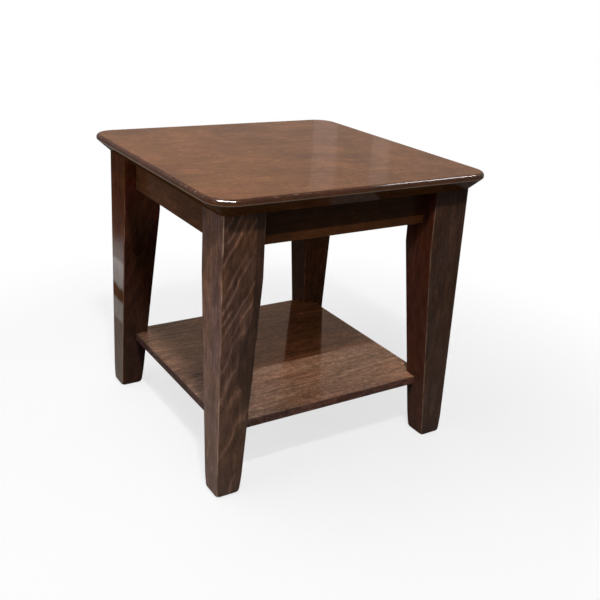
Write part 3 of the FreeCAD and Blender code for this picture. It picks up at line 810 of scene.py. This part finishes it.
def top_wood(number):
    look = Look(STAIN, toward(STAIN, STAIN_RED, 0.25), pith=(0.12 * number - 0.26, 0.45),
                cloud_size=(7, 7), drift=0.3, drift_size=(16, 13), mottle=0.45, mottle_size=(60, 60),
                streak=0.5, streak_size=(26, 130), band=0.3, fleck=0.5,
                edge=(0.42, 0.34, 0.38, 1), edge_side=0.3, edge_below=0.0,
                rub=0.35, rub_core=0.8, rub_patch=(0.6, 0.7), rub_size=(45, 160), brim=0.35,
                coat=0.2, coat_below=0.06, coat_rough=0.06, arris_coat=0.3)
    return Wood("top_wood_%d" % (number + 1), X, TOP_SEED + 0.01 * number, look).owner


def leg_wood(node, number, base_tone, gloss=0.03, mottle=1.2, rub=0.35, **own):
    tint = toward(base_tone, scaled(STAIN, base_tone[0] / STAIN[0]), 0.6)
    look = Look(base_tone, tint, streak=1.3, mottle=mottle, rub=rub, coat=gloss, coat_below=gloss, **own)
    return Wood(node + "_wood", Z, LEG_SEED + number, look).owner


def apron_wood(node, along, number, base_tone, **own):
    look = Look(base_tone, scaled(base_tone, 0.85), coat=0.04, coat_below=0.04, **own)
    return Wood(node + "_wood", along, APRON_SEED + number, look).owner


def shelf_wood(number, base_tone, red, share, **own):
    tint = toward(base_tone, scaled(STAIN_RED, red), share)
    look = Look(base_tone, tint, bend=0.1, ring=0.8, band=0.7, speckle=1.3, fleck=0.6,
                edge=(0.5, 0.45, 0.54, 1), edge_below=0.2, painted_sheen=(0.0, -0.22, 0.6), dust_and_sheen=0.04, dust_and_sheen_front=0.0,
                rim=0.15, coat=0.17, coat_below=0.05, coat_rough=0.08, **own)
    return Wood("shelf_wood_%d" % (number + 1), X, SHELF_SEED + number, look).owner


# ---------------------------------------------------------------- carried-over nodes
def dress_nodes():
    bare, steel = bare_wood(), zinc_steel()
    for name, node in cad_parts.items():
        if name.startswith(("brace", "button", "shelf_dowels")):
            node.material_slots[0].material = bare
        if name.startswith("shelf_board"):
            number = int(name[-1]) - 1
            look = SHELF_BEHIND if number else SHELF_FRONT
            node.material_slots[0].material = shelf_wood(number, **look)
        if name.startswith("screws"):
            node.material_slots[0].material = steel


def bare_wood():
    graph = Graph(bpy.data.materials.new("inner_wood_bare"))
    grain, _ = grain_place(graph, X, BARE_SEED)
    streak = graph.noise(graph.stretch(grain, (8, 200, 200)), detail=4, roughness=0.6)
    fibre = graph.noise(graph.stretch(grain, (40, 1200, 1200)))
    colour = graph.blend(streak, shade(150, 122, 88), shade(205, 180, 142))
    colour = graph.blend(graph.ease(fibre, 0.55, 0.8), colour, shade(120, 92, 62))
    rough = graph.sum("MULTIPLY_ADD", fibre, 0.2, 0.5)
    bump = graph.node("Bump", Height=fibre, Strength=0.3, Distance=0.0001)
    surface = graph.node("BsdfPrincipled", Base_Color=colour, Roughness=rough, Specular_IOR_Level=0.3,
                         Normal=bump.outputs[0])
    graph.node("OutputMaterial", Surface=surface.outputs[0])
    return graph.owner


def zinc_steel():
    graph = Graph(bpy.data.materials.new("screw_steel_zinc"))
    cloud = graph.noise(graph.stretch(graph.place(), (400, 400, 400)), detail=3)
    colour = graph.blend(cloud, shade(150, 150, 152), shade(196, 196, 200))
    rough = graph.sum("MULTIPLY_ADD", cloud, 0.2, 0.25)
    surface = graph.node("BsdfPrincipled", Base_Color=colour, Roughness=rough, Metallic=1.0)
    graph.node("OutputMaterial", Surface=surface.outputs[0])
    return graph.owner


# ---------------------------------------------------------------- floor, light and camera
FLOOR_SIZE = 60
FLOOR_SEEN = 0.97
FLOOR_LIT = 0.12
SHADOW_SHARE = 0.28             # how much of the floor takes the table's shadow, near it
SHADOW_REACH = (0.6, 1.2)       # and how far from the middle that fades out
WORLD_FILL = 0.11

PLAIN = (1.0, 1.0, 1.0)
ROSY = (1.0, 0.8, 0.78)
ORANGE = (1.0, 0.55, 0.25)
# Each lamp: its name, place, aim, width, depth, watts and colour. The first ones light the table and show in
# its lacquer, the fill only lights it, and the glints only show in the lacquer.
LAMPS = (
    ("overhead", (-0.7, 0.3, 2.6), (-0.1, 0, 0.5), 1.4, 1.4, 26.5, PLAIN),
    ("key", (-0.85, -1.66, 2.98), (0, 0, 0.5), 0.2, 0.2, 45, PLAIN),
    ("front", (-0.7, -2.15, 2.75), (0, 0, 0.4), 0.4, 0.4, 6, PLAIN),
    ("left", (-3.0, -0.5, 1.5), (0, 0, 0.4), 0.8, 0.8, 13, PLAIN),
)
FILLS = (
    ("back", (2.6, 3.2, 1.65), (0, 0, 0.5), 4.0, 1.2, 20, PLAIN),
)
GLINTS = (
    ("glint_corner", (-1.0, -1.3, 2.8), (-0.3, -0.3, 0.6), 3.0, 0.9, 1500, PLAIN),
    ("glint_front", (1.95, -0.5, 2.7), (0.2, -0.3, 0.6), 0.6, 0.5, 60, PLAIN),
    ("band_near", (2.19, 3.1, 1.5), (0.1, 0.0, 0.59), 0.16, 1.4, 0.35, ROSY),
    ("band_far", (2.5, 2.89, 1.5), (0.1, 0.0, 0.59), 0.12, 1.4, 0.25, ROSY),
    ("room", (0.5, 0.86, 0.5), (0.0, 0.0, 0.13), 1.2, 0.36, 1.7, ORANGE),
)

CAMERA_PLACE = (-0.88193, -1.46210, 0.95451)
CAMERA_TURN = (70.7038, -3.3916, -32.3165)
CAMERA_LENS = 50.187
CAMERA_SENSOR = 36
CAMERA_SHIFT = (-0.0181, -0.0692)


def build_floor():
    """White to the camera and in reflections, but for the table's own soft shadow. It gives back little
    light, and is clear from below, so that the underside can be seen."""
    shape = bmesh.new()
    bmesh.ops.create_grid(shape, x_segments=1, y_segments=1, size=FLOOR_SIZE)
    mesh = bpy.data.meshes.new("floor")
    shape.to_mesh(mesh)
    shape.free()
    floor = bpy.data.objects.new("floor", mesh)
    bpy.context.scene.collection.objects.link(floor)
    graph = Graph(bpy.data.materials.new("floor_pale"))
    plain = graph.ease(graph.length(graph.place()), *SHADOW_REACH)
    plain = graph.sum("MULTIPLY_ADD", plain, SHADOW_SHARE, 1 - SHADOW_SHARE)
    shadowed = graph.node("BsdfDiffuse", Color=(FLOOR_SEEN, FLOOR_SEEN, FLOOR_SEEN, 1))
    white = graph.node("Emission", Color=WHITE, Strength=1.0)
    lit = graph.node("BsdfDiffuse", Color=(FLOOR_LIT, FLOOR_LIT, FLOOR_LIT, 1))
    above = graph.mixed(graph.seen(), lit, graph.mixed(plain, shadowed, white))
    whole = graph.mixed(graph.node("NewGeometry").outputs["Backfacing"], above, graph.node("BsdfTransparent"))
    graph.node("OutputMaterial", Surface=whole.outputs[0])
    mesh.materials.append(graph.owner)


def build_world():
    """White where it is seen or reflected, and a weak fill as a light."""
    world = bpy.data.worlds.new("studio")
    bpy.context.scene.world = world
    graph = Graph(world)
    strength = graph.node("MapRange", Value=graph.seen(), To_Min=WORLD_FILL)
    background = graph.node("Background", Color=WHITE, Strength=strength.outputs[0])
    graph.node("OutputWorld", Surface=background.outputs[0])


def softbox(name, place, aim, width, depth, watts, colour, diffuse, glossy):
    light = bpy.data.lights.new(name, "AREA")
    light.shape = "RECTANGLE"
    light.size = width
    light.size_y = depth
    light.energy = watts
    light.color = colour
    lamp = bpy.data.objects.new(name, light)
    bpy.context.scene.collection.objects.link(lamp)
    lamp.location = place
    lamp.rotation_euler = (Vector(aim) - Vector(place)).to_track_quat("-Z", "Y").to_euler()
    lamp.visible_camera = False
    lamp.visible_diffuse = diffuse
    lamp.visible_glossy = glossy


def build_lights():
    for lamps, diffuse, glossy in ((LAMPS, True, True), (FILLS, True, False), (GLINTS, False, True)):
        for lamp in lamps:
            softbox(*lamp, diffuse, glossy)


def build_camera():
    """Looks down on the front left corner. The shift is that of the photograph's own framing."""
    data = bpy.data.cameras.new("camera")
    data.sensor_width = CAMERA_SENSOR
    data.lens = CAMERA_LENS
    data.shift_x, data.shift_y = CAMERA_SHIFT
    camera = bpy.data.objects.new("camera", data)
    bpy.context.scene.collection.objects.link(camera)
    camera.location = CAMERA_PLACE
    camera.rotation_euler = Euler([math.radians(turn) for turn in CAMERA_TURN], "XYZ")
    bpy.context.scene.camera = camera


# ---------------------------------------------------------------- the table
bpy.context.scene.view_settings.view_transform = "Standard"
build_top()
build_legs()
build_aprons()
dress_nodes()
build_floor()
build_world()
build_lights()
build_camera()
